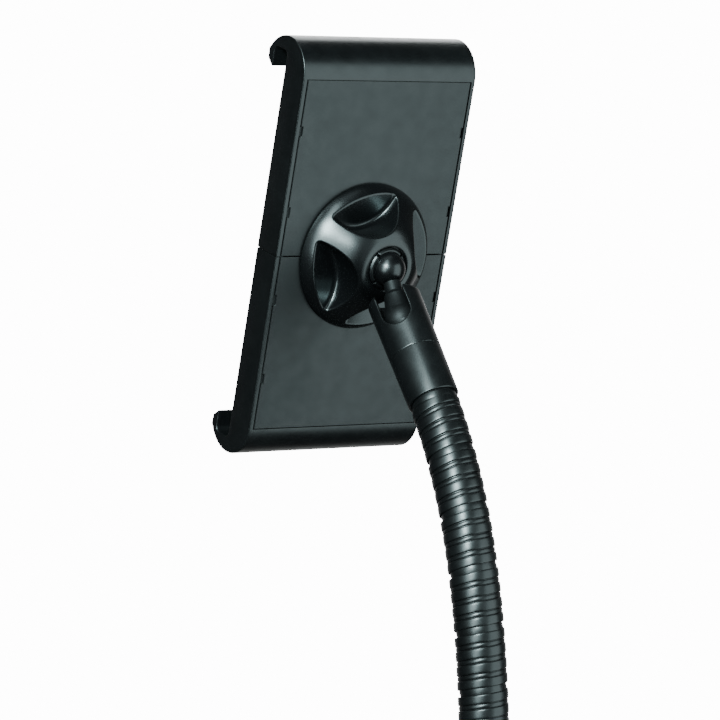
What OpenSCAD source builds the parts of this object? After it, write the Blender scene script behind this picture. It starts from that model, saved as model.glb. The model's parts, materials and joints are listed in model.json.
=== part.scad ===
// Adjustable tablet floor stand: weighted base, telescopic pole, gooseneck and a
// two-jaw tablet clamp on a double-ball stud.
// Millimetres, +Z up, origin on the floor below the pole, screen side towards -Y.

/* [Base] */
// Radius of the cast base
base_r = 175; // [165:1:220]
// Height of the outer edge of the casting
base_edge_h = 7; // [5:0.5:12]
// Height of the casting at the pole
base_mid_h = 16; // [13:0.5:24]
// Radius of the flat seat under the pole
base_seat_r = 46; // [40:1:70]
// Height of the rubber feet
foot_h = 3; // [2:0.5:6]
// Radius of a rubber foot
foot_r = 14; // [8:0.5:18]
// Number of rubber feet
foot_count = 6; // [3:1:8]
// Distance of the feet from the edge of the base
foot_inset = 24; // [20:1:40]
// Radius of the bolt that holds the pole
base_bolt_r = 5; // [4:0.5:6]

/* [Pole] */
// Outer radius of the lower tube
lower_tube_r = 16; // [15:0.25:20]
// Length of the lower tube
lower_tube_len = 560; // [400:5:700]
// Outer radius of the upper tube
upper_tube_r = 12.5; // [11:0.25:13]
// Length of the upper tube
upper_tube_len = 600; // [450:5:650]
// Wall of both tubes
tube_wall = 1.5; // [1:0.1:2]
// Length of upper tube that shows above the lock at rest
tube_reach = 215; // [100:5:300]
// Outer radius of the twist lock
lock_r = 22; // [21:0.5:26]
// Height of the twist lock
lock_h = 46; // [36:1:60]
// Number of grip flutes on the twist lock
lock_flutes = 12; // [6:1:18]
// Height of the collar at the foot of the pole
pole_collar_h = 34; // [20:1:60]

/* [Gooseneck] */
// Outer radius of the wide bands
band_r = 12; // [11:0.25:13]
// Step of the winding
band_pitch = 7; // [6:0.25:9]
// Groove between two wide bands
groove_w = 2.4; // [2.2:0.1:2.8]
// Depth of the groove
groove_depth = 0.8; // [0.6:0.1:1]
// Edge break of a wide band
band_edge = 0.4; // [0.2:0.05:0.6]
// Wide bands in one segment
segment_bands = 4; // [3:1:5]
// Radius of the bore through the neck
neck_bore_r = 8; // [6:0.25:8.5]
// Length of neck held in the lower fitting
neck_grip = 14; // [8:1:18]

/* [Socket] */
// Length of the ferrule at the tip of the neck
ferrule_len = 25.4; // [20:0.2:40]
// Length of the notched housing
housing_len = 34.2; // [32:0.2:42]
// Outer radius of the housing at its rim
housing_r = 13.25; // [13:0.05:14]
// Outer radius at the foot of the ferrule
ferrule_r = 12.6; // [12.5:0.05:13]
// Width of the notch
notch_w = 14.5; // [12:0.25:15.5]
// Direction of the notch, from straight back towards +X
notch_turn = 46; // [0:1:180]
// Depth of the lower ball below the rim
socket_depth = 13.4; // [13:0.1:16]

/* [Ball stud] */
// Radius of both balls
ball_r = 8.5; // [8:0.05:8.6]
// Distance between the two balls
stud_len = 26.2; // [26:0.1:32]
// Lean of the stud from the axis of the housing
stud_lean = 10.3; // [6:0.1:11]
// Radius of the stem
stem_r = 4.6; // [3:0.05:4.7]

/* [Holder] */
// Backward pitch of the holder
holder_pitch = 15.7; // [10:0.1:18]
// Width of the jaws
jaw_w = 99.6; // [90:0.2:140]
// Depth of a jaw from back to front, also the radius of its hook
jaw_depth = 17.2; // [17.2:0.1:20]
// Height of a jaw from the seam to the centre of its hook
jaw_h = 87.5; // [86:0.5:120]
// Outward travel of each jaw
jaw_travel = 30; // [10:1:32]
// Gap between the closed jaws
seam_gap = 0.5; // [0.3:0.1:1]
// Visible rail beside the rear panel
rail_w = 1.9; // [1.5:0.1:3]
// Thickness of a rear panel
panel_t = 2.5; // [2:0.1:3]
// Thickness of the front wall
front_wall = 2.5; // [2.5:0.1:2.8]
// Depth of the hook's throat
throat_w = 11; // [8:0.25:12]
// Height of the hook's throat
throat_h = 10; // [8:0.25:11]
// Rounding in the throat
throat_round = 3; // [1:0.25:3.5]
// Thickness of the hook's lip
lip_t = 4.2; // [3:0.1:4.6]
// Height of the bevel under the lip
lip_bevel = 3.5; // [2:0.1:5]
// Length of the chassis
chassis_h = 120; // [100:1:130]

/* [Knob] */
// Radius of the knob
knob_r = 37.25; // [36.5:0.25:42]
// Height of the knob's upright edge
knob_edge_h = 3.4; // [2:0.1:4.5]
// Radius of the hub
hub_r = 13.8; // [13.6:0.1:14.5]
// Height of the hub above the back of the jaws
hub_h = 23.4; // [23:0.1:24]
// Height of the ball above the back of the jaws
ball_stand = 22.3; // [22:0.05:22.8]
// Radius of the dome, a part of a sphere
dome_r = 40.5; // [38.5:0.5:60]
// Height of the pocket floor
pocket_floor = 7.2; // [7:0.1:9]
// Distance from the axis to the pocket's inner wall
pocket_in = 19.3; // [18.5:0.1:22]
// Radius of the pocket's inner wall
pocket_r = 24.8; // [18:0.2:27]
// Turn of the pockets from straight up
pocket_turn = 16.8; // [0:0.2:45]

/* [Self-centring drive] */
// Number of teeth on the pinion
pinion_teeth = 16; // [14:1:18]
// Tooth module
tooth_module = 1; // [0.9:0.05:1.1]

/* [Clearances] */
// Radial gap of a running fit
run_gap = 0.06; // [0.03:0.01:0.09]
// Gap between faces that slide or only meet
slide_gap = 0.3; // [0.2:0.05:0.4]

/* [Hidden] */
$fn = 96;
// Bends of the neck's joints at rest, from the pole to the tip
neck_bends = [0, 0, 0, 0, 0, 1.0, 1.8, 3.0, 4.0, 5.2, 6.8, 6.8, 6.4];
neck_count = len(neck_bends);
eps = 0.01;
over = 1;

// Base and pole, as heights
base_z = foot_h;
seat_z = base_z + base_mid_h;
bolt_head_r = base_bolt_r * 1.7;
bolt_head_h = base_bolt_r * 1.25;
bolt_sink = bolt_head_h + 0.4;
bolt_grip = 22;
plug_h = 30;
skirt_w = 14;
lower_bore_r = lower_tube_r - tube_wall;
lower_top = seat_z + lower_tube_len;
bush_flange_h = 3;
bush_h = 26;
lock_z = lower_top + bush_flange_h;
lock_top = lock_z + lock_h;
collet_wall = 2.6;
collet_h = lock_h - 7;
upper_top = lock_top + tube_reach;
upper_foot = upper_top - upper_tube_len;
slider_h = 30;
slider_lip = 1.6;

// Gooseneck
segment_len = segment_bands * band_pitch;
band_w = band_pitch - groove_w;
core_r = band_r - groove_depth;
knuckle_r = core_r - 0.6;
knuckle_reach = 4.2;
web_t = 4;
fitting_wall = 2.1;
fitting_grip = 30;
fitting_r = max(upper_tube_r, band_r) + fitting_wall;
neck_z = upper_top + web_t;
grub_r = 2.5;

// Socket and stud, along the axis of the housing
ferrule_z = groove_w / 2;
housing_z = ferrule_z + ferrule_len + slide_gap;
rim_z = housing_z + housing_len;
low_ball_z = rim_z - socket_depth;
rim_bevel = 2.8;
// Middle radius at the seam between ferrule and housing
seam_r = ferrule_r + (housing_r - ferrule_r) * ferrule_len / (rim_z - ferrule_z);
mouth_r = 10.2;
throat_r = 7.8;
throat_z = 3;
cup_wall = 0.5;
cup_h = 8;
cup_drop = 4;
spigot_h = 7;
cup_r = ball_r + cup_wall;

// Holder, as depths behind the front and heights above the back
inner_front = jaw_depth - front_wall;
panel_w = jaw_w - 2 * rail_w;
panel_gap = 0.25;
cavity_w = panel_w - 4;
cavity_h = jaw_h - 4.5;
chassis_w = cavity_w - 2 * slide_gap;
chassis_back = panel_t + slide_gap;
chassis_plate_t = 4;
chassis_front = chassis_back + chassis_plate_t;
rail_inner = chassis_w / 2 - 7.5;
drive_back = chassis_front + 0.5;
drive_t = 4.8;
lip_front = throat_w + lip_t;
snap_rows = [22, 62];
snap_w = 1.1;
snap_h = 5;
pad_size = [76, 22];
pad_t = 1.2;
pad_corner = 4;
pad_sink = 0.6;
pad_row = 50;
hook_pad_t = 1.4;
hook_pad_w = 84;

// Ball joint in the hub
liner_in = ball_r + run_gap;
liner_out = liner_in + 1.94;
liner_top = ball_stand + 1.2;
liner_foot = ball_stand - 7.5;
liner_bevel = 1.5;
stem_room = 0.6;
tilt_limit = 4;
boss_r = liner_out + 2.1;
boss_top = ball_stand - 3.9;
liner_lip_r = boss_r - slide_gap;
liner_lip_t = 1.7;
knob_gap = 0.4;
knob_bore_r = boss_r + slide_gap;
hub_lip_z = boss_top + liner_lip_t + slide_gap;
hub_hole_r = liner_out + 0.4;
hub_dish = 0.6;
hub_dish_r = hub_r - 0.4;
dome_foot = [knob_r - 3.25, knob_edge_h + 3.1];
hub_len = hub_h - dome_foot.y + over;
dome_z = dome_foot.y - sqrt(dome_r * dome_r - dome_foot.x * dome_foot.x);

// Drive and springs
pitch_r = tooth_module * pinion_teeth / 2;
tooth_pitch = PI * tooth_module;
tooth_play = 0.25;
tooth_tip = 0.85 * tooth_module;
tooth_root = 1.2 * tooth_module;
pressure = 20;
post_r = 3;
post_end = drive_back + drive_t + slide_gap;
post_screw_r = 1.5;
post_screw_len = 5.2;
rack_w = 5;
rack_foot_h = 18;
rack_top = cavity_h - 4;
rack_screw_r = 1.25;
rack_screw_bite = 1.2;
rack_rows = [rack_top - 5, rack_top - rack_foot_h + 5];
rack_mid = pitch_r + tooth_root + rack_w / 2;
spring_x = 27;
spring_r = 3.4;
spring_wire = 1;
peg_row = 50;
peg_r = 1.5;

function segment_name(k) = str("neck_segment_", k < 10 ? "0" : "", k);

// Place and lean of joint k of the neck, counted from the pole
function neck_lean(k) = k == 0 ? 0 : neck_lean(k - 1) + neck_bends[k - 1];
function neck_spot(k) = k == 0
    ? [0, 0, neck_z]
    : neck_spot(k - 1) + segment_len * [0, -sin(neck_lean(k - 1)), cos(neck_lean(k - 1))];
function turn_x(v, a) = [v.x, v.y * cos(a) - v.z * sin(a), v.y * sin(a) + v.z * cos(a)];
tip_lean = neck_lean(neck_count);
// Lean of the stem from the axis of the hub where the tilt ends
stem_limit = 90 - holder_pitch - tip_lean + stud_lean + tilt_limit;
tip_spot = neck_spot(neck_count);
ball_spot = tip_spot
    + turn_x([0, stud_len * sin(stud_lean), low_ball_z + stud_len * cos(stud_lean)], tip_lean);

// Colours
black_paint = [0.06, 0.06, 0.065];
black_plastic = [0.09, 0.095, 0.095];
dark_rubber = [0.04, 0.04, 0.04];
plain_steel = [0.6, 0.6, 0.62];
white_nylon = [0.85, 0.85, 0.82];

// Shared shapes

module ring(outer_r, inner_r, h) {
    difference() {
        cylinder(r = outer_r, h = h);
        translate([0, 0, -over]) cylinder(r = inner_r, h = h + 2 * over);
    }
}

// Block centred on x, from its lowest y and z
module block(w, y0, y1, z0, z1) {
    translate([-w / 2, y0, z0]) cube([w, y1 - y0, z1 - z0]);
}

// Flat pad with round corners, its back at y = 0 and its front at y = -t
module round_pad(size, t, r) {
    rotate([90, 0, 0]) linear_extrude(t) union() {
        square([size.x - 2 * r, size.y], center = true);
        square([size.x, size.y - 2 * r], center = true);
        for (sx = [-1, 1], sz = [-1, 1])
            translate([sx * (size.x / 2 - r), sz * (size.y / 2 - r)]) circle(r = r);
    }
}

// Frames of the moving groups

module on_segment(k) {
    translate(neck_spot(k)) rotate([neck_lean(k), 0, 0]) children();
}

module on_tip() {
    translate(tip_spot) rotate([tip_lean, 0, 0]) children();
}

// Origin on the back of the jaws behind the seam, +y out of the back, +z up the jaws
module on_holder() {
    translate(ball_spot) rotate([-holder_pitch, 0, 0]) translate([0, -ball_stand, 0]) children();
}

// The same origin with +z out of the back
module on_knob() {
    on_holder() rotate([-90, 0, 0]) children();
}

// Base

module base_casting() {
    color(black_paint) difference() {
        rotate_extrude() union() {
            polygon([[0, base_z], [base_r - 1, base_z], [base_r, base_z + 1],
                     [base_r, base_z + base_edge_h - 3], [base_r - 3, base_z + base_edge_h],
                     [base_seat_r + 6, seat_z - 2], [base_seat_r, seat_z], [0, seat_z]]);
            translate([base_r - 3, base_z + base_edge_h - 3]) circle(r = 3);
        }
        translate([0, 0, -over]) cylinder(r = base_bolt_r + slide_gap, h = seat_z + 2 * over);
        translate([0, 0, -over]) cylinder(r = bolt_head_r + 2, h = base_z + bolt_sink + over);
        for (k = [0 : foot_count - 1])
            rotate([0, 0, k * 360 / foot_count]) translate([base_r - foot_inset, 0, base_z - over])
                cylinder(r = foot_r + slide_gap, h = over + 1);
    }
}

module foot_pads() {
    color(dark_rubber) for (k = [0 : foot_count - 1])
        rotate([0, 0, k * 360 / foot_count]) translate([base_r - foot_inset, 0, 0]) union() {
            cylinder(r1 = foot_r - 1, r2 = foot_r, h = 1);
            translate([0, 0, 1]) cylinder(r = foot_r, h = foot_h);
        }
}

module base_bolt() {
    color(plain_steel) union() {
        translate([0, 0, base_z + bolt_sink - bolt_head_h])
            cylinder(r = bolt_head_r, h = bolt_head_h, $fn = 6);
        translate([0, 0, base_z + bolt_sink - eps])
            cylinder(r = base_bolt_r, h = seat_z - base_z - bolt_sink + bolt_grip);
    }
}

module pole_plug() {
    color(plain_steel) translate([0, 0, seat_z]) ring(lower_bore_r - run_gap, base_bolt_r + run_gap, plug_h);
}

module pole_collar() {
    color(black_plastic) translate([0, 0, seat_z]) difference() {
        rotate_extrude() polygon([
            [0, 0], [lower_tube_r + skirt_w, 0], [lower_tube_r + skirt_w, 3], [lower_tube_r + skirt_w / 2, 9],
            [lower_tube_r + 4, pole_collar_h - 2], [lower_tube_r + 2.5, pole_collar_h], [0, pole_collar_h]]);
        translate([0, 0, -over]) cylinder(r = lower_tube_r + run_gap, h = pole_collar_h + 2 * over);
    }
}

// Pole

module lower_tube() {
    color(black_paint) translate([0, 0, seat_z]) ring(lower_tube_r, lower_bore_r, lower_tube_len);
}

module tube_bush() {
    color(white_nylon) difference() {
        union() {
            translate([0, 0, lower_top - bush_h]) cylinder(r = lower_bore_r - run_gap, h = bush_h + eps);
            translate([0, 0, lower_top]) cylinder(r = lower_tube_r + 2, h = bush_flange_h);
        }
        translate([0, 0, lower_top - bush_h - over])
            cylinder(r = upper_tube_r + run_gap, h = bush_h + bush_flange_h + 2 * over);
    }
}

module lock_collet() {
    color(white_nylon) translate([0, 0, lock_z]) difference() {
        ring(upper_tube_r + run_gap + collet_wall, upper_tube_r + run_gap, collet_h);
        for (k = [0 : 5])
            rotate([0, 0, 60 * k]) translate([upper_tube_r, -0.6, 10]) cube([5, 1.2, collet_h]);
    }
}

module lock_collar() {
    hollow_r = upper_tube_r + run_gap + collet_wall + slide_gap;
    color(black_plastic) translate([0, 0, lock_z]) difference() {
        rotate_extrude() polygon([[hollow_r, 0], [lock_r - 1, 0], [lock_r, 1], [lock_r, lock_h - 8],
                                  [upper_tube_r + 4, lock_h], [upper_tube_r + slide_gap, lock_h],
                                  [upper_tube_r + slide_gap, collet_h + slide_gap],
                                  [hollow_r, collet_h + slide_gap]]);
        for (k = [0 : lock_flutes - 1])
            rotate([0, 0, k * 360 / lock_flutes]) translate([lock_r + 1.4, 0, 5])
                cylinder(r = 2.6, h = lock_h - 16);
    }
}

module slider_bush() {
    color(white_nylon) translate([0, 0, upper_foot - slider_lip]) difference() {
        cylinder(r = lower_bore_r - run_gap, h = slider_h);
        translate([0, 0, slider_lip]) cylinder(r = upper_tube_r + run_gap, h = slider_h);
        translate([0, 0, -over]) cylinder(r = upper_tube_r - tube_wall, h = slider_h);
    }
}

module upper_tube() {
    color(black_paint) translate([0, 0, upper_foot])
        ring(upper_tube_r, upper_tube_r - tube_wall, upper_tube_len);
}

// Gooseneck

module neck_base_ferrule() {
    length = fitting_grip + web_t + neck_grip;
    edge = 1.2;
    color(black_paint) difference() {
        translate([0, 0, upper_top - fitting_grip]) rotate_extrude()
            polygon([[0, 0], [fitting_r - edge, 0], [fitting_r, edge], [fitting_r, length - edge],
                     [fitting_r - edge, length], [0, length]]);
        translate([0, 0, upper_top - fitting_grip - over])
            cylinder(r = upper_tube_r + run_gap, h = fitting_grip + over);
        translate([0, 0, neck_z]) cylinder(r = band_r + run_gap, h = neck_grip + over);
        translate([0, 0, upper_top - over]) cylinder(r = neck_bore_r, h = web_t + 2 * over);
        translate([0, 0, upper_top - fitting_grip / 2]) rotate([-90, 0, 0])
            cylinder(r = grub_r + run_gap, h = fitting_r + over);
    }
}

module ferrule_screw() {
    color(plain_steel) translate([0, upper_tube_r + 0.1, upper_top - fitting_grip / 2]) rotate([-90, 0, 0])
        difference() {
            cylinder(r = grub_r, h = fitting_r - upper_tube_r - 0.3);
            translate([0, 0, 0.8]) cylinder(r = grub_r / 2, h = 2, $fn = 6);
        }
}

function band_outline(z) = [
    [core_r, z], [band_r - band_edge, z], [band_r, z + band_edge],
    [band_r, z + band_w - band_edge], [band_r - band_edge, z + band_w], [core_r, z + band_w]];

// Ribbed tube with a spherical knuckle on top, which turns in the socket of the next segment
module segment_body(with_socket) {
    foot = groove_w / 2;
    difference() {
        union() {
            rotate_extrude() polygon(concat(
                [[neck_bore_r, foot]],
                [for (b = [0 : segment_bands - 1]) each band_outline(foot + b * band_pitch)],
                [[neck_bore_r, segment_len - foot]]));
            intersection() {
                translate([0, 0, segment_len]) sphere(r = knuckle_r);
                translate([0, 0, segment_len - foot - 0.5])
                    ring(core_r, neck_bore_r, foot + 0.5 + knuckle_reach);
            }
        }
        if (with_socket)
            sphere(r = knuckle_r + slide_gap);
    }
}

module neck_segment(k) {
    color(black_paint) on_segment(k) union() {
        segment_body(k > 0);
        if (k == 0)
            ring(core_r, neck_bore_r, groove_w / 2 + eps);
    }
}

module neck_ferrule() {
    top = ferrule_z + ferrule_len;
    color(black_plastic) on_tip() difference() {
        union() {
            rotate_extrude() polygon([
                [0, ferrule_z], [ferrule_r - 0.6, ferrule_z], [ferrule_r, ferrule_z + 0.6],
                [seam_r, top - 0.4], [seam_r - 0.4, top], [0, top]]);
            translate([0, 0, top - eps]) cylinder(r = cup_r - run_gap, h = spigot_h);
        }
        sphere(r = knuckle_r + slide_gap);
        cylinder(r = neck_bore_r, h = ferrule_len - 6);
    }
}

// Socket and stud

module socket_housing() {
    color(black_plastic) on_tip() difference() {
        rotate_extrude() polygon([
            [0, housing_z], [seam_r - 0.4, housing_z], [seam_r, housing_z + 0.4],
            [housing_r, rim_z - rim_bevel], [housing_r - rim_bevel, rim_z], [0, rim_z]]);
        translate([0, 0, housing_z - over]) cylinder(r = cup_r, h = low_ball_z - cup_drop - housing_z + over);
        translate([0, 0, low_ball_z]) sphere(r = ball_r + run_gap);
        translate([0, 0, low_ball_z + throat_z])
            cylinder(r1 = throat_r, r2 = mouth_r, h = socket_depth - throat_z + eps);
        rotate([0, 0, -notch_turn]) translate([0, 0, low_ball_z]) union() {
            rotate([-90, 0, 0]) cylinder(r = notch_w / 2, h = housing_r + over);
            translate([-notch_w / 2, 0, 0]) cube([notch_w, housing_r + over, socket_depth + over]);
        }
    }
}

module ball_cup() {
    color(black_plastic) on_tip() difference() {
        translate([0, 0, low_ball_z - cup_h - cup_drop]) cylinder(r = cup_r - run_gap, h = cup_h);
        translate([0, 0, low_ball_z]) sphere(r = ball_r + run_gap);
        translate([0, 0, low_ball_z - cup_h - cup_drop - over]) cylinder(r = 3, h = cup_h);
    }
}

module ball_stud() {
    color(black_paint) on_tip() translate([0, 0, low_ball_z]) rotate([-stud_lean, 0, 0]) union() {
        sphere(r = ball_r);
        cylinder(r = stem_r, h = stud_len);
        translate([0, 0, stud_len]) sphere(r = ball_r);
    }
}

module ball_liner() {
    color(black_plastic) on_knob() difference() {
        union() {
            intersection() {
                translate([0, 0, ball_stand]) sphere(r = liner_out);
                rotate_extrude() polygon([
                    [0, liner_foot], [liner_out + over, liner_foot],
                    [liner_out + over, liner_top - liner_bevel - over],
                    [liner_out - liner_bevel, liner_top], [0, liner_top]]);
            }
            translate([0, 0, boss_top + eps]) cylinder(r = liner_lip_r, h = liner_lip_t);
        }
        translate([0, 0, ball_stand]) sphere(r = liner_in);
        translate([0, 0, ball_stand]) rotate([-stem_limit, 0, 0])
            cylinder(r = stem_r + stem_room, h = liner_out + over);
        for (k = [0 : 3])
            rotate([0, 0, 45 + 90 * k]) translate([0, -0.6, hub_lip_z]) cube([liner_out + over, 1.2, 10]);
    }
}

// Holder

module chassis() {
    color(black_plastic) on_holder() difference() {
        union() {
            block(chassis_w, -chassis_front, -chassis_back, -chassis_h / 2, chassis_h / 2);
            for (side = [-1, 1])
                translate([side * (chassis_w / 2 + rail_inner) / 2, 0, 0])
                    block(chassis_w / 2 - rail_inner, slide_gap - inner_front, -chassis_back,
                          -chassis_h / 2, chassis_h / 2);
            rotate([-90, 0, 0]) translate([0, 0, -chassis_front])
                cylinder(r = boss_r, h = chassis_front + boss_top);
            rotate([90, 0, 0]) translate([0, 0, chassis_back])
                cylinder(r = post_r, h = post_end - chassis_back);
        }
        translate([0, ball_stand, 0]) sphere(r = liner_out + run_gap);
        rotate([90, 0, 0]) translate([0, 0, post_end - post_screw_len])
            cylinder(r = post_screw_r + run_gap, h = post_screw_len + over);
    }
}

// Half angle of a pinion tooth at radius r
function roll(a) = tan(a) * 180 / PI - a;
base_circle = pitch_r * cos(pressure);
half_at_pitch = (tooth_pitch / 2 - tooth_play) / 2 / pitch_r * 180 / PI;
function half_tooth(r) = half_at_pitch + roll(pressure) - roll(acos(min(1, base_circle / r)));

module pinion() {
    tip_r = pitch_r + tooth_tip;
    root_r = pitch_r - tooth_root;
    steps = 4;
    radii = [for (s = [0 : steps]) base_circle + (tip_r - base_circle) * s / steps];
    flank = [for (r = concat([root_r - 0.3], radii)) [r, half_tooth(max(r, base_circle))]];
    color(white_nylon) on_holder() translate([0, -drive_back, 0]) rotate([90, 0, 0]) difference() {
        union() {
            cylinder(r = root_r, h = drive_t);
            for (k = [0 : pinion_teeth - 1]) rotate([0, 0, k * 360 / pinion_teeth]) linear_extrude(drive_t)
                polygon(concat(
                    [for (f = flank) f[0] * [cos(f[1]), sin(f[1])]],
                    [for (i = [len(flank) - 1 : -1 : 0])
                        flank[i][0] * [cos(flank[i][1]), -sin(flank[i][1])]]));
        }
        translate([0, 0, -over]) cylinder(r = post_r + run_gap, h = drive_t + 2 * over);
    }
}

module pinion_screw() {
    color(plain_steel) on_holder() translate([0, -post_end, 0]) rotate([90, 0, 0]) union() {
        cylinder(r = 4.4, h = 1.8);
        translate([0, 0, 0.2 - post_screw_len]) cylinder(r = post_screw_r, h = post_screw_len);
    }
}

module spring(side) {
    body_h = peg_row - 6;
    depth = (chassis_front + inner_front) / 2;
    eye_r = peg_r + slide_gap + spring_wire / 2;
    color(plain_steel) on_holder() translate([side * spring_x, -depth, 0]) union() {
        translate([0, 0, -body_h]) ring(spring_r, spring_r - spring_wire, 2 * body_h);
        for (end = [0, 1]) mirror([0, 0, end]) {
            translate([0, 0, peg_row]) rotate([90, 0, 0]) rotate_extrude()
                translate([eye_r, 0]) circle(d = spring_wire, $fn = 24);
            translate([0, 0, body_h - spring_wire])
                cylinder(d = 0.8 * spring_wire, h = peg_row - eye_r - body_h + spring_wire);
            translate([0.2 - spring_r, -spring_wire / 2, body_h - 1.5 * spring_wire])
                cube([2 * spring_r - 0.4, spring_wire, spring_wire]);
        }
    }
}

module clamp_knob() {
    color(black_plastic) on_knob() difference() {
        union() {
            rotate_extrude() polygon([[0, knob_gap], [knob_r - 0.6, knob_gap], [knob_r, knob_gap + 0.6],
                                      [knob_r, knob_edge_h], dome_foot, [0, dome_foot.y]]);
            intersection() {
                translate([0, 0, dome_z]) sphere(r = dome_r);
                translate([0, 0, hub_h - hub_len]) cylinder(r = dome_foot.x, h = hub_len);
            }
            translate([0, 0, hub_h - hub_len]) cylinder(r = hub_r, h = hub_len);
        }
        translate([0, 0, -over]) cylinder(r = knob_bore_r, h = hub_lip_z + over);
        cylinder(r = hub_hole_r, h = hub_h + over);
        translate([0, 0, hub_h - hub_dish]) cylinder(r1 = hub_hole_r, r2 = hub_dish_r, h = hub_dish + eps);
        for (k = [0 : 3])
            rotate([0, 0, pocket_turn - 90 + 90 * k]) translate([pocket_in + pocket_r, 0, pocket_floor])
                cylinder(r = pocket_r, h = hub_h);
    }
}

// Jaws, drawn as the upper one and mirrored for the lower one

module on_jaw(side) {
    on_holder() mirror([0, 0, side > 0 ? 0 : 1]) mirror([side > 0 ? 0 : 1, 0, 0]) children();
}

// Side outline: x is the depth from the back, y the height above the seam
module jaw_outline() {
    difference() {
        union() {
            translate([0, seam_gap / 2]) square([jaw_depth, jaw_h - seam_gap / 2]);
            translate([jaw_depth, jaw_h]) intersection() {
                circle(r = jaw_depth, $fn = 180);
                polygon([[-jaw_depth - over, -eps], [throat_w, -eps], [lip_front, lip_bevel],
                         [lip_front, jaw_depth + over], [-jaw_depth - over, jaw_depth + over]]);
            }
        }
        translate([jaw_depth, jaw_h]) union() {
            translate([0, -over]) square([throat_w, throat_h - throat_round + over]);
            translate([throat_round, 0]) square([throat_w - 2 * throat_round, throat_h]);
            for (x = [throat_round, throat_w - throat_round])
                translate([x, throat_h - throat_round]) circle(r = throat_round);
        }
    }
}

module jaw_frame(side) {
    color(black_plastic) on_jaw(side) union() {
        difference() {
            rotate([90, 0, -90]) linear_extrude(jaw_w, center = true) jaw_outline();
            block(panel_w + 2 * panel_gap, -panel_t, over, -over, jaw_h + panel_gap);
            block(cavity_w, -inner_front, -panel_t + eps, -over, cavity_h);
            translate([0, -jaw_depth + pad_sink, pad_row])
                round_pad(pad_size + [0.4, 0.4], over + pad_sink, pad_corner + 0.2);
            for (row = rack_rows)
                translate([rack_mid, -inner_front + eps, row]) rotate([90, 0, 0])
                    cylinder(r = rack_screw_r + run_gap, h = rack_screw_bite + 0.2);
        }
        for (sx = [-1, 1])
            translate([sx * spring_x, -chassis_front - 0.6, peg_row]) rotate([90, 0, 0])
                cylinder(r = peg_r, h = inner_front - chassis_front - 0.6 + eps);
    }
}

module rear_panel(side) {
    color(black_plastic) on_jaw(side) difference() {
        block(panel_w, -panel_t, 0, seam_gap / 2, jaw_h);
        rotate([90, 0, 0]) translate([0, 0, -over]) cylinder(r = boss_r + slide_gap, h = panel_t + 2 * over);
        for (row = snap_rows, sx = [-1, 1])
            translate([sx * panel_w / 2, 0, row]) block(2 * snap_w, -1, over, -snap_h / 2, snap_h / 2);
    }
}

module hook_pad(side) {
    color(dark_rubber) on_jaw(side)
        block(hook_pad_w, -jaw_depth - throat_w + throat_round, -jaw_depth - throat_round,
              jaw_h + throat_h - hook_pad_t, jaw_h + throat_h);
}

module front_pad(side) {
    color(dark_rubber) on_jaw(side) translate([0, -jaw_depth + pad_sink, pad_row])
        round_pad(pad_size, pad_t, pad_corner);
}

// Tooth of a rack: wide at its root, thin at its tip towards the pinion
function rack_half(x) = (tooth_pitch / 2 - tooth_play) / 2 + (x - pitch_r) * tan(pressure);

module rack(side) {
    root_x = pitch_r + tooth_root;
    tip_x = pitch_r - tooth_tip;
    foot_z = -jaw_travel - 3 * tooth_pitch;
    first = floor(foot_z / tooth_pitch) + 1;
    color(white_nylon) on_jaw(side) difference() {
        union() {
            translate([0, -drive_back, 0]) rotate([90, 0, 0]) linear_extrude(drive_t) union() {
                translate([root_x, foot_z]) square([rack_w, rack_top - foot_z]);
                for (k = [first : 2])
                    translate([0, (k + 0.5) * tooth_pitch]) polygon([
                        [root_x + eps, rack_half(root_x)], [tip_x, rack_half(tip_x)],
                        [tip_x, -rack_half(tip_x)], [root_x + eps, -rack_half(root_x)]]);
            }
            translate([rack_mid, 0, 0])
                block(rack_w, -inner_front, -drive_back, rack_top - rack_foot_h, rack_top);
        }
        for (row = rack_rows)
            translate([rack_mid, 0, row]) rotate([90, 0, 0])
                cylinder(r = rack_screw_r + run_gap, h = jaw_depth);
    }
}

module rack_screws(side) {
    color(plain_steel) on_jaw(side) for (row = rack_rows)
        translate([rack_mid, -drive_back, row]) rotate([90, 0, 0]) union() {
            translate([0, 0, -1.6]) cylinder(r = 2.2, h = 1.6);
            translate([0, 0, -eps])
                cylinder(r = rack_screw_r, h = inner_front - drive_back + rack_screw_bite);
        }
}

base_casting();
foot_pads();
base_bolt();
pole_plug();
pole_collar();
lower_tube();
tube_bush();
lock_collet();
lock_collar();
slider_bush();
upper_tube();
neck_base_ferrule();
ferrule_screw();
for (k = [0 : neck_count - 1])
    neck_segment(k);
neck_ferrule();
socket_housing();
ball_cup();
ball_stud();
ball_liner();
chassis();
pinion();
pinion_screw();
spring(1);  // left_spring
spring(-1);  // right_spring
clamp_knob();
jaw_frame(1);  // upper_frame
rear_panel(1);  // upper_rear_panel
hook_pad(1);  // upper_hook_pad
front_pad(1);  // upper_front_pad
rack(1);  // upper_rack
rack_screws(1);  // upper_rack_screws
jaw_frame(-1);  // lower_frame
rear_panel(-1);  // lower_rear_panel
hook_pad(-1);  // lower_hook_pad
front_pad(-1);  // lower_front_pad
rack(-1);  // lower_rack
rack_screws(-1);  // lower_rack_screws
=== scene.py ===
"""Looks of the adjustable tablet floor stand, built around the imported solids."""
import json
import math

import bmesh
import bpy
import numpy as np
from mathutils import Matrix, Vector


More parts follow.
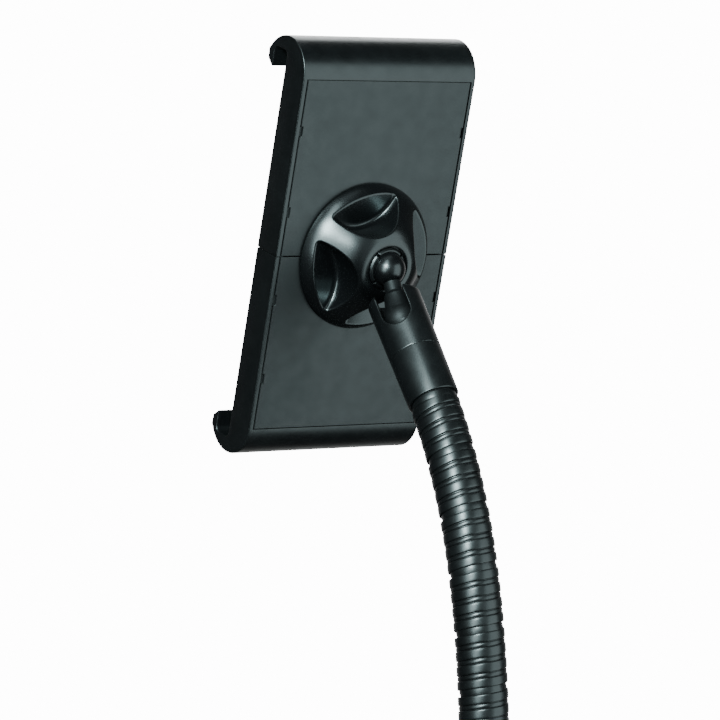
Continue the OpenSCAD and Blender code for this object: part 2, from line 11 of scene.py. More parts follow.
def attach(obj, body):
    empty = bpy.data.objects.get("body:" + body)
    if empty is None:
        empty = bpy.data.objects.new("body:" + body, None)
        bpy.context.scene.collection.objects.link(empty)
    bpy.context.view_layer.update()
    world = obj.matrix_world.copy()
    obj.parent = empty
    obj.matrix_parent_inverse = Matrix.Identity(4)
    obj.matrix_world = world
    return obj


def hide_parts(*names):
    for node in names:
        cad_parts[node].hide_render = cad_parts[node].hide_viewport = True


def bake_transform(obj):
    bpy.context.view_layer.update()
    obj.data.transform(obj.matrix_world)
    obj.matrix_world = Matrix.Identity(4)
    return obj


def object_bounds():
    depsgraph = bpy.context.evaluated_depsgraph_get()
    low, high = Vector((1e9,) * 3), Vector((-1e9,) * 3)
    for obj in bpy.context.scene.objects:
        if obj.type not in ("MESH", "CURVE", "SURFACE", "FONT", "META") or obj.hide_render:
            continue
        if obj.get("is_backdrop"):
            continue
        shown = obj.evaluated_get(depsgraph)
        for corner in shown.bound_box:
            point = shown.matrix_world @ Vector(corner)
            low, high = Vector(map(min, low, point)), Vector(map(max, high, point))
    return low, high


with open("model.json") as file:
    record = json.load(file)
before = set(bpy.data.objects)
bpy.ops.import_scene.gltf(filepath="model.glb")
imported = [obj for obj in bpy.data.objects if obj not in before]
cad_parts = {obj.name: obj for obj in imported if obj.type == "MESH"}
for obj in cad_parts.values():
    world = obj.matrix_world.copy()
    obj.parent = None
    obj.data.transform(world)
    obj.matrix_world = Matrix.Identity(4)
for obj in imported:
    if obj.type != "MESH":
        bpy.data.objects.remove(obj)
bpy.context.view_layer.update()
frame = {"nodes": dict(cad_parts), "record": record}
nodes = frame["nodes"]

MM = 0.001

# Sizes in millimetres. JAW_W was measured again on the photo, and is 1.8 mm more than in the part's source.
NECK_Z = 847.0
SEGMENT = 28.0
PITCH = 7.0
BENDS = [0, 0, 0, 0, 0, 1.0, 1.8, 3.0, 4.0, 5.2, 6.8, 6.8, 6.4]
LOW_BALL_Z = 47.7
STUD_LEN = 26.2
STUD_LEAN = 10.3
HOLDER_PITCH = 15.7
BALL_STAND = 22.3
BALL_R = 8.5
JAW_W = 101.4
JAW_DEPTH = 17.2
JAW_H = 87.5
SEAM = 0.25


def shift(x, y, z):
    return Matrix.Translation((x, y, z))


def turn(degrees, axis):
    return Matrix.Rotation(math.radians(degrees), 4, axis)


# Joints of the neck at rest
LEANS = [0.0]
SPOTS = [Vector((0, 0, NECK_Z))]
for bend in BENDS:
    lean = math.radians(LEANS[-1])
    SPOTS.append(SPOTS[-1] + SEGMENT * Vector((0, -math.sin(lean), math.cos(lean))))
    LEANS.append(LEANS[-1] + bend)

WORLD = Matrix.Identity(4)
TIP = shift(*SPOTS[-1]) @ turn(LEANS[-1], "X")
STUD = TIP @ shift(0, 0, LOW_BALL_Z) @ turn(-STUD_LEAN, "X")
BALL = STUD @ Vector((0, 0, STUD_LEN))
HOLDER = shift(*BALL) @ turn(-HOLDER_PITCH, "X") @ shift(0, -BALL_STAND, 0)
KNOB = HOLDER @ turn(-90, "X")


# Materials

NOISE_RANGE = (0.3, 0.7)
CLOUD_SCALE, CLOUD_DETAIL = 28.0, 4.0
BLOTCH_SCALE, BLOTCH_DETAIL = 140.0, 5.0
GRAIN_DETAIL = 3.0
BUMP_DEPTH = 0.0001


def ramp(tree, source, low, high):
    node = tree.nodes.new("ShaderNodeMapRange")
    node.inputs["From Min"].default_value, node.inputs["From Max"].default_value = NOISE_RANGE
    node.inputs["To Min"].default_value = low
    node.inputs["To Max"].default_value = high
    tree.links.new(source, node.inputs["Value"])
    return node.outputs["Result"]


def noise(tree, coords, scale, detail):
    node = tree.nodes.new("ShaderNodeTexNoise")
    node.inputs["Scale"].default_value = scale
    node.inputs["Detail"].default_value = detail
    tree.links.new(coords, node.inputs["Vector"])
    return node.outputs["Fac"]


def surface(name, dark, light, rough, grain, bump, metal=0.0, level=0.5, tint=(1, 1, 1)):
    """Material with cloudy colour, uneven gloss and a fine grain. rough is (low, high), grain in mm."""
    made = bpy.data.materials.new(name)
    made.use_nodes = True
    tree = made.node_tree
    shader = tree.nodes["Principled BSDF"]
    where = tree.nodes.new("ShaderNodeTexCoord").outputs["Object"]
    cloud = noise(tree, where, CLOUD_SCALE, CLOUD_DETAIL)
    fine = noise(tree, where, 1 / (grain * MM), GRAIN_DETAIL)
    blotch = noise(tree, where, BLOTCH_SCALE, BLOTCH_DETAIL)
    mix = tree.nodes.new("ShaderNodeMix")
    mix.data_type = "RGBA"
    mix.inputs["A"].default_value = (*dark, 1)
    mix.inputs["B"].default_value = (*light, 1)
    tree.links.new(ramp(tree, cloud, 0.0, 1.0), mix.inputs["Factor"])
    tree.links.new(mix.outputs["Result"], shader.inputs["Base Color"])
    tree.links.new(ramp(tree, blotch, *rough), shader.inputs["Roughness"])
    lift = tree.nodes.new("ShaderNodeBump")
    lift.inputs["Strength"].default_value = bump
    lift.inputs["Distance"].default_value = BUMP_DEPTH
    tree.links.new(fine, lift.inputs["Height"])
    tree.links.new(lift.outputs["Normal"], shader.inputs["Normal"])
    shader.inputs["Metallic"].default_value = metal
    shader.inputs["Specular IOR Level"].default_value = level
    shader.inputs["Specular Tint"].default_value = (*tint, 1)
    return made


COOL = (0.74, 0.98, 1.0)
SATIN_DARK = (0.0012, 0.0016, 0.0018)
SATIN_LIGHT = (0.0024, 0.0031, 0.0034)
GLOSS_DARK = (0.001, 0.0013, 0.0015)
GLOSS_LIGHT = (0.002, 0.0026, 0.003)
PLASTIC = surface("satin_black_plastic", SATIN_DARK, (0.0022, 0.0029, 0.0032), (0.30, 0.38), 0.5, 0.06, tint=COOL)
PANEL = surface("smooth_panel_plastic", SATIN_DARK, SATIN_LIGHT, (0.38, 0.46), 0.6, 0.06, tint=COOL)
KNOB_BLACK = surface("gloss_knob_plastic", GLOSS_DARK, (0.0018, 0.0024, 0.0027), (0.24, 0.28), 0.5, 0.01, tint=COOL)
STRIP = surface("coated_neck_strip", SATIN_DARK, SATIN_LIGHT, (0.30, 0.38), 0.7, 0.06, tint=COOL)
BALL_BLACK = surface("gloss_ball_coat", GLOSS_DARK, GLOSS_LIGHT, (0.24, 0.30), 0.8, 0.01, tint=COOL)
STEM_BLACK = surface("satin_stem_coat", GLOSS_DARK, GLOSS_LIGHT, (0.48, 0.56), 0.8, 0.02, level=0.25, tint=COOL)
TUBE = surface("black_tube_coat", (0.003, 0.0035, 0.004), (0.005, 0.006, 0.0065), (0.28, 0.38), 0.6, 0.12, tint=COOL)
CAST = surface("textured_powder_coat", (0.006, 0.0065, 0.007), (0.012, 0.013, 0.0135), (0.45, 0.62), 0.9, 0.55)
RUBBER = surface("black_rubber", (0.008, 0.008, 0.008), (0.014, 0.014, 0.014), (0.62, 0.8), 0.5, 0.35, level=0.3)
NYLON = surface("pale_nylon", (0.62, 0.61, 0.57), (0.72, 0.71, 0.68), (0.4, 0.5), 0.6, 0.12)
STEEL = surface("zinc_steel", (0.42, 0.42, 0.43), (0.58, 0.58, 0.60), (0.26, 0.42), 0.4, 0.15, metal=1.0)


# Mesh making. Angles of sharp edges are in degrees.

MERGE = 1e-6
SLIVER = 1e-7


def add_piece(name, verts, faces, material, body, place=WORLD, sharp=35.0):
    """A piece from points in millimetres in the frame of place, riding on body unless that is None."""
    mesh = bpy.data.meshes.new(name)
    world = [MM * (place @ Vector(v)) for v in verts]
    mesh.from_pydata(world, [], faces)
    return finish_piece(name, mesh, material, body, sharp)


def finish_piece(name, mesh, material, body, sharp):
    """Cleans a mesh in metres, shades it and makes it a piece that rides on body unless that is None."""
    made = bmesh.new()
    made.from_mesh(mesh)
    bmesh.ops.remove_doubles(made, verts=made.verts, dist=MERGE)
    bmesh.ops.dissolve_degenerate(made, dist=SLIVER, edges=made.edges)
    bmesh.ops.recalc_face_normals(made, faces=made.faces)
    made.to_mesh(mesh)
    made.free()
    mesh.shade_smooth()
    mesh.set_sharp_from_angle(angle=math.radians(sharp))
    mesh.materials.append(material)
    piece = bpy.data.objects.new(name, mesh)
    bpy.context.scene.collection.objects.link(piece)
    if body:
        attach(piece, body)
    return piece


LONGEST_RUN = 0.49
TINY = 1e-6


def rounded(path, closed, steps=6):
    """Points of a path of (x, y, radius), with each corner rounded."""
    points = []
    count = len(path)
    for i, (x, y, r) in enumerate(path):
        here = np.array((x, y), float)
        if r == 0 or (not closed and i in (0, count - 1)):
            points.append(here)
            continue
        before = np.array(path[i - 1][:2], float) - here
        after = np.array(path[(i + 1) % count][:2], float) - here
        lb, la = np.linalg.norm(before), np.linalg.norm(after)
        before, after = before / lb, after / la
        half = math.acos(max(-1.0, min(1.0, float(before @ after)))) / 2
        run = min(r / math.tan(half), LONGEST_RUN * lb, LONGEST_RUN * la)
        r = run * math.tan(half)
        middle = here + (before + after) / np.linalg.norm(before + after) * r / math.sin(half)
        first, last = here + before * run - middle, here + after * run - middle
        a0 = math.atan2(first[1], first[0])
        sweep = math.atan2(first[0] * last[1] - first[1] * last[0], float(first @ last))
        for s in range(steps + 1):
            a = a0 + sweep * s / steps
            points.append(middle + r * np.array((math.cos(a), math.sin(a))))
    return points


def lathe(profile, closed, around=160, swell=None):
    """Points and faces of a profile of (radius, height) turned about z."""
    verts, faces, rows = [], [], []
    for r, z in profile:
        if r < TINY:
            rows.append([len(verts)])
            verts.append((0, 0, z))
            continue
        rows.append(list(range(len(verts), len(verts) + around)))
        for i in range(around):
            a = 2 * math.pi * i / around
            rr = r if swell is None else swell(r, z, a)
            verts.append((rr * math.cos(a), rr * math.sin(a), z))
    pairs = list(zip(rows, rows[1:]))
    if closed:
        pairs.append((rows[-1], rows[0]))
    for low, high in pairs:
        for i in range(around):
            j = (i + 1) % around
            ring = [low[i % len(low)], low[j % len(low)], high[j % len(high)], high[i % len(high)]]
            face = list(dict.fromkeys(ring))
            if len(face) > 2:
                faces.append(face)
    return verts, faces


# Rounds that draw the points on to the surface, the half step of their slopes, and the limits of a move
DRAW_ROUNDS = 6
PROBE = 0.01
LEAST_SLOPE = 0.25
LONGEST_MOVE = 0.5


def net(field, low, high, step):
    """Points and quads of the zero surface of a distance field, drawn on to it."""
    axes = [np.arange(low[k], high[k] + step, step) for k in range(3)]
    grid = np.meshgrid(*axes, indexing="ij")
    values = field(*grid)
    inside = values < 0
    shape = [n - 1 for n in values.shape]
    corners = [(i, j, k) for i in (0, 1) for j in (0, 1) for k in (0, 1)]

    def part(a, c):
        return a[c[0]:c[0] + shape[0], c[1]:c[1] + shape[1], c[2]:c[2] + shape[2]]

    count = sum(part(inside, c).astype(np.int8) for c in corners)
    active = (count > 0) & (count < len(corners))
    cells = np.argwhere(active)
    index = np.full(shape, -1)
    index[active] = np.arange(len(cells))
    total = np.zeros((len(cells), 3))
    hits = np.zeros(len(cells))
    for a in corners:
        for axis in range(3):
            if a[axis]:
                continue
            b = tuple(c + (m == axis) for m, c in enumerate(a))
            va = part(values, a)[active]
            vb = part(values, b)[active]
            cross = (va < 0) != (vb < 0)
            t = np.where(cross, va / np.where(cross, va - vb, 1), 0)
            spot = (cells + np.array(a)).astype(float)
            spot[:, axis] += t
            total += spot * cross[:, None]
            hits += cross
    points = np.array(low) + step * total / hits[:, None]
    for _ in range(DRAW_ROUNDS):
        value = field(*points.T)
        slope = np.stack([(field(*(points + d).T) - field(*(points - d).T)) / (2 * PROBE)
                          for d in PROBE * np.eye(3)], 1)
        move = slope * (value / np.maximum((slope ** 2).sum(1), LEAST_SLOPE))[:, None]
        points = points - np.clip(move, -LONGEST_MOVE * step, LONGEST_MOVE * step)
    quads = []
    for axis in range(3):
        u, v = [m for m in range(3) if m != axis]
        size = list(values.shape)
        size[axis] -= 1
        first = inside[tuple(slice(0, s) for s in size)]
        second = np.roll(inside, -1, axis)[tuple(slice(0, s) for s in size)]
        edges = np.argwhere(first != second)
        edges = edges[(edges[:, u] > 0) & (edges[:, v] > 0)
                      & (edges[:, u] < shape[u]) & (edges[:, v] < shape[v])]
        ring = []
        for du, dv in ((0, 0), (-1, 0), (-1, -1), (0, -1)):
            cell = edges.copy()
            cell[:, u] += du
            cell[:, v] += dv
            ring.append(index[cell[:, 0], cell[:, 1], cell[:, 2]])
        quads.append(np.stack(ring, 1))
    quads = np.concatenate(quads)
    return points, quads[(quads >= 0).all(1)].tolist()


def smooth_min(a, b, k):
    """The lesser of two fields, blended over a width of k."""
    h = np.maximum(k - np.abs(a - b), 0) / k
    return np.minimum(a, b) - h * h * k / 4


def smooth_max(a, b, k):
    return -smooth_min(-a, -b, k)


SEAM_MERGE = 2e-6
FLAT = math.radians(1.0)
CREASE = math.radians(30)


def softened(node, width, material, steps=2, sharp=35.0):
    """A copy of a solid with its edges broken, in place of it."""
    mesh = bpy.data.meshes.new(node + "_soft")
    made = bmesh.new()
    made.from_mesh(nodes[node].data)
    bmesh.ops.remove_doubles(made, verts=made.verts, dist=SEAM_MERGE)
    bmesh.ops.dissolve_limit(made, angle_limit=FLAT, verts=made.verts, edges=made.edges)
    edges = [e for e in made.edges if len(e.link_faces) == 2 and e.calc_face_angle() > CREASE]
    bmesh.ops.bevel(made, geom=edges, offset=width * MM, offset_type="OFFSET", segments=steps, profile=0.5,
                    affect="EDGES", clamp_overlap=True)
    made.to_mesh(mesh)
    made.free()
    body = next(b for b, members in frame["record"]["behaviour"]["bodies"].items() if node in members)
    piece = finish_piece(node + "_piece", mesh, material, body, sharp)
    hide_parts(node)
    return piece


def stands_for(piece, slot, *names):
    """Hides the named solids, so that the piece stands in their place."""
    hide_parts(*names)


# Base and pole. Profiles are rows of (radius, height, corner radius).

BASE_SIDES = 256
TURNED_SIDES = 128
BASE_R = 175.0
BASE_TOP = 19.0
BASE_LOW = 3.0
BOLT_R = 5.3
BOLT_SEAT_R = 10.5
BOLT_SEAT_Z = 9.65
BASE_PROFILE = rounded([
    (BOLT_R, BASE_TOP, 0), (45, BASE_TOP, 4), (53, 16.8, 12), (170, 10.2, 3), (BASE_R, 8.4, 3.5),
    (BASE_R, BASE_LOW, 1.0), (BOLT_SEAT_R, BASE_LOW, 0.3), (BOLT_SEAT_R, BOLT_SEAT_Z, 0.3),
    (BOLT_R, BOLT_SEAT_Z, 0)], True)
stands_for(add_piece("base_plate", *lathe(BASE_PROFILE, True, BASE_SIDES), CAST, "base"), "cast_base", "base_casting")

COLLAR_R = 30.0
COLLAR_BORE_R = 16.06
COLLAR_TOP = 53.0
COLLAR_PROFILE = rounded([
    (COLLAR_BORE_R, BASE_TOP, 0), (COLLAR_R, BASE_TOP, 0.4), (COLLAR_R, 22, 1.0), (23, 28, 5), (20, 51, 1.5),
    (18.5, COLLAR_TOP, 0.8), (COLLAR_BORE_R, COLLAR_TOP, 0.4)], True)
collar = add_piece("pole_foot_collar", *lathe(COLLAR_PROFILE, True), PLASTIC, "base")
stands_for(collar, "satin_plastic", "pole_collar")

TUBE_EDGE_OUT = 0.5
TUBE_EDGE_IN = 0.3
for word, outer, inner, low, high, body in (
        ("lower", 16, 14.5, BASE_TOP, 579, "base"),
        ("upper", 12.5, 11, 243, 843, "mast")):
    tube_path = [(inner, low, TUBE_EDGE_IN), (outer, low, TUBE_EDGE_OUT), (outer, high, TUBE_EDGE_OUT),
                 (inner, high, TUBE_EDGE_IN)]
    tube = add_piece(word + "_pole", *lathe(rounded(tube_path, True, 3), True, TURNED_SIDES), TUBE, body)
    stands_for(tube, "black_tube", word + "_tube")

LOCK_Z = 582.0
LOCK_H = 46.0
LOCK_TOP = LOCK_Z + LOCK_H
LOCK_R = 22.0
LOCK_BORE_R = 15.46
LOCK_MOUTH_R = 12.8
LOCK_SHELF = LOCK_Z + 39.3
LOCK_SHOULDER = 8.0
LOCK_TOP_R = 16.5
FLUTES = 12
FLUTE_R = 2.6
FLUTE_OUT = 1.4
FLUTE_LOW = 5
FLUTE_HIGH = 11
FLUTE_FADE = 1.5
FLUTE_ROW = 0.75
FLUTE_START = 0.5
LOCK_SIDES = 288
LOCK_ROUND = 0.2
LOCK_SLACK = 0.01


def lock_swell(r, z, a):
    """Grip flutes in the side of the twist lock."""
    if r < LOCK_R - LOCK_ROUND:
        return r
    near = (a * FLUTES / (2 * math.pi) + 0.5) % 1.0 - 0.5
    across = near * 2 * math.pi / FLUTES * LOCK_R
    reach = max(0.0, FLUTE_R ** 2 - across ** 2)
    above = min(1.0, max(0.0, (z - LOCK_Z - FLUTE_LOW) / FLUTE_FADE))
    below = min(1.0, max(0.0, (LOCK_TOP - FLUTE_HIGH - z) / FLUTE_FADE))
    return min(r, r - above * below * max(0.0, math.sqrt(reach) - FLUTE_OUT))


lock_path = rounded([
    (LOCK_BORE_R, LOCK_Z, 0), (LOCK_R, LOCK_Z, 1.0), (LOCK_R, LOCK_TOP - LOCK_SHOULDER, 1.6),
    (LOCK_TOP_R, LOCK_TOP, 1.2), (LOCK_MOUTH_R, LOCK_TOP, 0.3), (LOCK_MOUTH_R, LOCK_SHELF, 0),
    (LOCK_BORE_R, LOCK_SHELF, 0)], True)
# The long side gets more rows, for the flutes
lock_rows = []
for here, after in zip(lock_path, lock_path[1:] + lock_path[:1]):
    lock_rows.append(here)
    if abs(here[0] - after[0]) < TINY and here[0] > LOCK_R - LOCK_SLACK and after[1] - here[1] > FLUTE_LOW:
        lock_rows.extend(np.array((here[0], z)) for z in np.arange(here[1] + FLUTE_START, after[1], FLUTE_ROW))
lock = add_piece("twist_lock", *lathe(lock_rows, True, LOCK_SIDES, lock_swell), PLASTIC, "lock")
stands_for(lock, "satin_plastic", "lock_collar")

softened("foot_pads", 0.8, RUBBER, 3)
softened("neck_base_ferrule", 0.7, TUBE, 3)

# Gooseneck: one wound strip, parted along its groove at each joint, over a ball that fills the gap there.
# BAND is one turn across the strip, as (height, radius).

BAND = [(0.00, 11.30), (0.10, 11.30), (0.18, 11.72), (0.36, 11.91), (0.75, 11.98), (1.5, 12.0), (2.4, 12.0),
        (3.3, 12.0), (4.05, 11.98), (4.44, 11.91), (4.62, 11.72), (4.70, 11.30), (4.80, 11.30), (4.88, 11.52),
        (5.06, 11.64), (5.85, 11.70), (6.64, 11.64), (6.82, 11.52), (6.90, 11.30)]
BAND_START = 2
BAND_END = 11
BAND_TRIM = 0.3
TRIM_ROWS = 3
SEGMENT_TURNS = 4
LAST_SEGMENT = 12
AROUND = 84
PARTING = math.radians(234.6)
STRIP_FOOT = 0.4
STRIP_TOP = SEGMENT * (LAST_SEGMENT + 1) - 1.8
JOINT_BALL_R = 11.25
JOINT_BALL_ZONE = (-6.0, 6.0)
JOINT_BALL_ROWS = 13
CUT = 1e-5
STRIP_SHARP = 40.0


def winding_rows(first, last):
    """Heights and radii across the turns from first to last, with the bands beside the partings cut back."""
    rows = [[PITCH * t + z, r] for t in range(first, last + 1) for z, r in BAND]
    rows = rows[BAND_START:len(rows) - len(BAND) + BAND_END]
    for j in range(TRIM_ROWS):
        rows[j][0] += BAND_TRIM
        rows[-1 - j][0] -= BAND_TRIM
    return rows


def straight(k):
    """Maps the straight neck on to segment k."""
    place = shift(*SPOTS[k]) @ turn(LEANS[k], "X") @ shift(0, 0, -SEGMENT * k)
    return lambda p: place @ p


def arc(k):
    """Maps the straight neck on to the arc that touches segments k - 1 and k in their middles."""
    angle = math.radians(BENDS[k - 1]) if k else 0
    if angle == 0:
        return straight(k)
    begin = SEGMENT * (k - 0.5)
    radius = SEGMENT / 2 / math.tan(angle / 2)
    place = shift(*SPOTS[k - 1]) @ turn(LEANS[k - 1], "X") @ shift(0, 0, SEGMENT / 2)

    def bent(p):
        a = (p.z - begin) / SEGMENT * angle
        reach = radius + p.y
        return place @ Vector((p.x, reach * math.cos(a) - radius, reach * math.sin(a)))

    return bent


def strip_piece(k, body):
    """Winding on segment k along the curve at rest, with the ball at its upper joint."""
    first = SEGMENT_TURNS * k - (1 if k else 2)
    last = SEGMENT_TURNS * k + (2 if k < LAST_SEGMENT else 3)
    rows = winding_rows(first, last)
    made = bmesh.new()
    grid = []
    for i in range(AROUND):
        a = PARTING + 2 * math.pi * i / AROUND
        rise = PITCH * a / (2 * math.pi)
        grid.append([made.verts.new((r * math.cos(a), r * math.sin(a), z + rise)) for z, r in rows])
    step = len(BAND)
    for i in range(AROUND):
        for j in range(len(rows) - 1):
            if i + 1 < AROUND:
                made.faces.new((grid[i][j], grid[i + 1][j], grid[i + 1][j + 1], grid[i][j + 1]))
            elif j + step + 1 < len(rows):
                made.faces.new((grid[i][j], grid[0][j + step], grid[0][j + step + 1], grid[i][j + 1]))
    for at, spot, way in ((0, STRIP_FOOT, -1), (LAST_SEGMENT, STRIP_TOP, 1)):
        if at == k:
            everything = list(made.verts) + list(made.edges) + list(made.faces)
            bmesh.ops.bisect_plane(made, geom=everything, dist=CUT, plane_co=(0, 0, spot), plane_no=(0, 0, way),
                                   clear_outer=True)
    lower, upper, middle = arc(k), arc(k + 1), SEGMENT * (k + 0.5)
    for v in made.verts:
        v.co = MM * (lower(v.co) if v.co.z < middle else upper(v.co))
    joint = shift(*SPOTS[k + 1]) @ turn((LEANS[k] + LEANS[k + 1]) / 2, "X")
    heights = np.linspace(*JOINT_BALL_ZONE, JOINT_BALL_ROWS)
    verts, faces = lathe([(math.sqrt(JOINT_BALL_R ** 2 - z * z), z) for z in heights], False, AROUND)
    ball = [made.verts.new(MM * (joint @ Vector(v))) for v in verts]
    for face in faces:
        made.faces.new([ball[i] for i in face])
    name = "neck_strip_%02d" % k
    mesh = bpy.data.meshes.new(name)
    made.to_mesh(mesh)
    made.free()
    return finish_piece(name, mesh, STRIP, body, STRIP_SHARP)


for k in range(LAST_SEGMENT + 1):
    stands_for(strip_piece(k, "neck_%02d" % k if k else "mast"), "neck_strip", "neck_segment_%02d" % k)

# Ferrule, socket and stud

SEAM_R = 12.87
FERRULE_LOW = 1.2
FERRULE_LOW_R = 12.6
FERRULE_TOP = 26.8
FERRULE_BORE_R = 11.45
FERRULE_BORE_TOP = 9.0
SPIGOT_R = 8.94
SPIGOT_TOP = 33.6
FERRULE_PROFILE = rounded([
    (0, FERRULE_BORE_TOP, 0), (FERRULE_BORE_R, FERRULE_BORE_TOP, 0.3), (FERRULE_BORE_R, FERRULE_LOW, 0.1),
    (FERRULE_LOW_R, FERRULE_LOW, 0.7), (SEAM_R, FERRULE_TOP, 0.08), (SPIGOT_R, FERRULE_TOP, 0.08),
    (SPIGOT_R, SPIGOT_TOP, 0.5), (0, SPIGOT_TOP, 0)], False)
ferrule = add_piece("neck_tip_ferrule", *lathe(FERRULE_PROFILE, False), PLASTIC, "tip", TIP)
stands_for(ferrule, "satin_plastic", "neck_ferrule")

HOUSING_Z = 26.9
HOUSING_HALF = 14
HOUSING_STEP = 0.35
RIM_Z = 61.1
RIM_R = 13.25
RIM_BEVEL_R = 10.45
SOCKET_BORE_R = 9.0
SOCKET_BORE_TOP = LOW_BALL_Z - 4
MOUTH_RISE = 3
MOUTH_R = 7.8
MOUTH_FLARE = 0.218
MOUTH_COS = 0.977
NOTCH_HALF = 7.25
NOTCH = math.radians(46)
BALL_PLAY = 0.06
HAIR_EDGE = 0.08
FINE_EDGE = 0.2
SOFT_EDGE = 0.7
NET_SHARP = 50
ROUND_SHARP = 60


def housing_field(x, y, z):
    """Notched socket with its ball seat, in the frame of the neck's tip."""
    rho = np.hypot(x, y)
    wall = rho - (SEAM_R + (RIM_R - SEAM_R) * (z - HOUSING_Z) / (RIM_Z - HOUSING_Z))
    body = smooth_max(wall, z - RIM_Z, FINE_EDGE)
    body = smooth_max(body, (rho - RIM_BEVEL_R + z - RIM_Z) * math.sqrt(0.5), SOFT_EDGE)
    body = smooth_max(body, HOUSING_Z - z, HAIR_EDGE)
    ball = np.sqrt(rho ** 2 + (z - LOW_BALL_Z) ** 2) - (BALL_R + BALL_PLAY)
    bore = np.maximum(rho - SOCKET_BORE_R, z - SOCKET_BORE_TOP)
    cone = (rho - MOUTH_R - MOUTH_FLARE * (z - LOW_BALL_Z - MOUTH_RISE)) * MOUTH_COS
    mouth = np.maximum(cone, LOW_BALL_Z + MOUTH_RISE - z)
    along = x * math.sin(NOTCH) + y * math.cos(NOTCH)
    across = x * math.cos(NOTCH) - y * math.sin(NOTCH)
    slot = np.where(z > LOW_BALL_Z, np.abs(across), np.hypot(across, z - LOW_BALL_Z)) - NOTCH_HALF
    slot = np.maximum(slot, -along)
    hollow = np.minimum(np.minimum(ball, bore), np.minimum(mouth, slot))
    return smooth_max(body, -hollow, SOFT_EDGE)


points, quads = net(housing_field, (-HOUSING_HALF, -HOUSING_HALF, HOUSING_Z - 1),
                    (HOUSING_HALF, HOUSING_HALF, RIM_Z + 1), HOUSING_STEP)
socket = add_piece("stud_socket", points, quads, PLASTIC, "socket", TIP, NET_SHARP)
stands_for(socket, "satin_plastic", "socket_housing")

STEM_ROOT_R = 6.6
STEM_TOP_R = 5.5
STEM_TOP = 12.6
NECK_R = 4.2
NECK_FOOT = 14.0
BALL_ROWS = 40
root = math.pi - math.asin(STEM_ROOT_R / BALL_R)
low_end = [(BALL_R * math.sin(a), -BALL_R * math.cos(a)) for a in np.linspace(0, root, BALL_ROWS)]
top_start = math.asin(NECK_R / BALL_R)
high_end = [(BALL_R * math.sin(a), STUD_LEN - BALL_R * math.cos(a))
            for a in np.linspace(top_start, math.pi, BALL_ROWS)]
stem = rounded([(*low_end[-1], 0), (STEM_TOP_R, STEM_TOP, 1.0), (NECK_R, NECK_FOOT, 1.2), (*high_end[0], 0)], False)
low_end[0], high_end[-1] = (0, -BALL_R), (0, STUD_LEN + BALL_R)
stem_profile = low_end + [tuple(q) for q in stem[1:]] + [(0, high_end[0][1])]
ball_profile = [(0, high_end[0][1])] + high_end
for name, profile, coat in (("stud_ball", ball_profile, BALL_BLACK), ("stud_stem", stem_profile, STEM_BLACK)):
    piece = add_piece(name, *lathe(profile, False, TURNED_SIDES), coat, "stud", STUD, ROUND_SHARP)
    stands_for(piece, "ball_finish", "ball_stud")

LINER_R = 10.5
LINER_LOW = 14.8
LINER_TOP = BALL_STAND + 0.2
LINER_EDGE_R = 9.3
LINER_BOX = ((-13, -13, 14), (13, 13, 24.2))
LINER_STEP = 0.25
LINER_FOOT_EDGE = 0.3
LINER_SLOT_EDGE = 0.25
LINER_LIP_R = 12.3
LINER_LIP_Z = 19.26
LINER_LIP_HALF = 0.85
LINER_SLOT_HALF = 0.6
LINER_SLOT_LOW = 20.4
STEM_LIMIT = math.radians(53.6)
STEM_ROOM_R = 5.2


def liner_field(x, y, z):
    """Split shell around the upper ball, with room for the stem at the limit of its tilt."""
    rho = np.hypot(x, y)
    lift = z - BALL_STAND
    shell = np.sqrt(rho ** 2 + lift ** 2) - LINER_R
    shell = smooth_max(shell, z - LINER_TOP, FINE_EDGE)
    shell = smooth_max(shell, (rho - LINER_EDGE_R + z - LINER_TOP) * math.sqrt(0.5), FINE_EDGE)
    shell = smooth_max(shell, LINER_LOW - z, LINER_FOOT_EDGE)
    lip = np.maximum(rho - LINER_LIP_R, np.abs(z - LINER_LIP_Z) - LINER_LIP_HALF)
    body = np.minimum(shell, lip)
    body = smooth_max(body, BALL_R + BALL_PLAY - np.sqrt(rho ** 2 + lift ** 2), FINE_EDGE)
    a, b = (x + y) * math.sqrt(0.5), (x - y) * math.sqrt(0.5)
    slots = np.maximum(np.minimum(np.abs(a), np.abs(b)) - LINER_SLOT_HALF, LINER_SLOT_LOW - z)
    body = smooth_max(body, -slots, LINER_SLOT_EDGE)
    along = y * math.sin(STEM_LIMIT) + lift * math.cos(STEM_LIMIT)
    across = np.hypot(x, y * math.cos(STEM_LIMIT) - lift * math.sin(STEM_LIMIT))
    return smooth_max(body, -np.maximum(across - STEM_ROOM_R, -along), FINE_EDGE)


points, quads = net(liner_field, *LINER_BOX, LINER_STEP)
liner = add_piece("split_ball_liner", points, quads, PLASTIC, "liner", KNOB, NET_SHARP)
stands_for(liner, "satin_plastic", "ball_liner")

# Clamp knob

KNOB_R = 37.25
KNOB_LOW = 0.4
KNOB_BOX = ((-38.2, -38.2, -0.4), (38.2, 38.2, 24.2))
KNOB_STEP = 0.4
DOME_R = 40.5
DOME_Z = -15.5
BEVEL_Z = 3.4
BEVEL_OUT, BEVEL_UP, BEVEL_LEN = 3.1, 3.25, 4.49
POCKETS = 4
POCKET_IN = 16.8
POCKET_R = 21.5
POCKET_FLOOR = 7.2
POCKET_EDGE = 33.5
POCKET_SLOPE = math.radians(15)
POCKET_TURN = 16.8
HUB_H = 22.7
HUB_DISH = 0.5
HUB_DISH_R = 13.4
HUB_DISH_RUN = 2.5
KNOB_BORE_R = 12.9
KNOB_BORE_TOP = 20.4
KNOB_HOLE_R = 10.9
BEVEL_ROUND = 1.2
RIM_ROUND = 1.0
HUB_ROUND = 0.9
FOOT_ROUND = 0.8
POCKET_ROUND = 3.0
HOLE_ROUND = 0.35


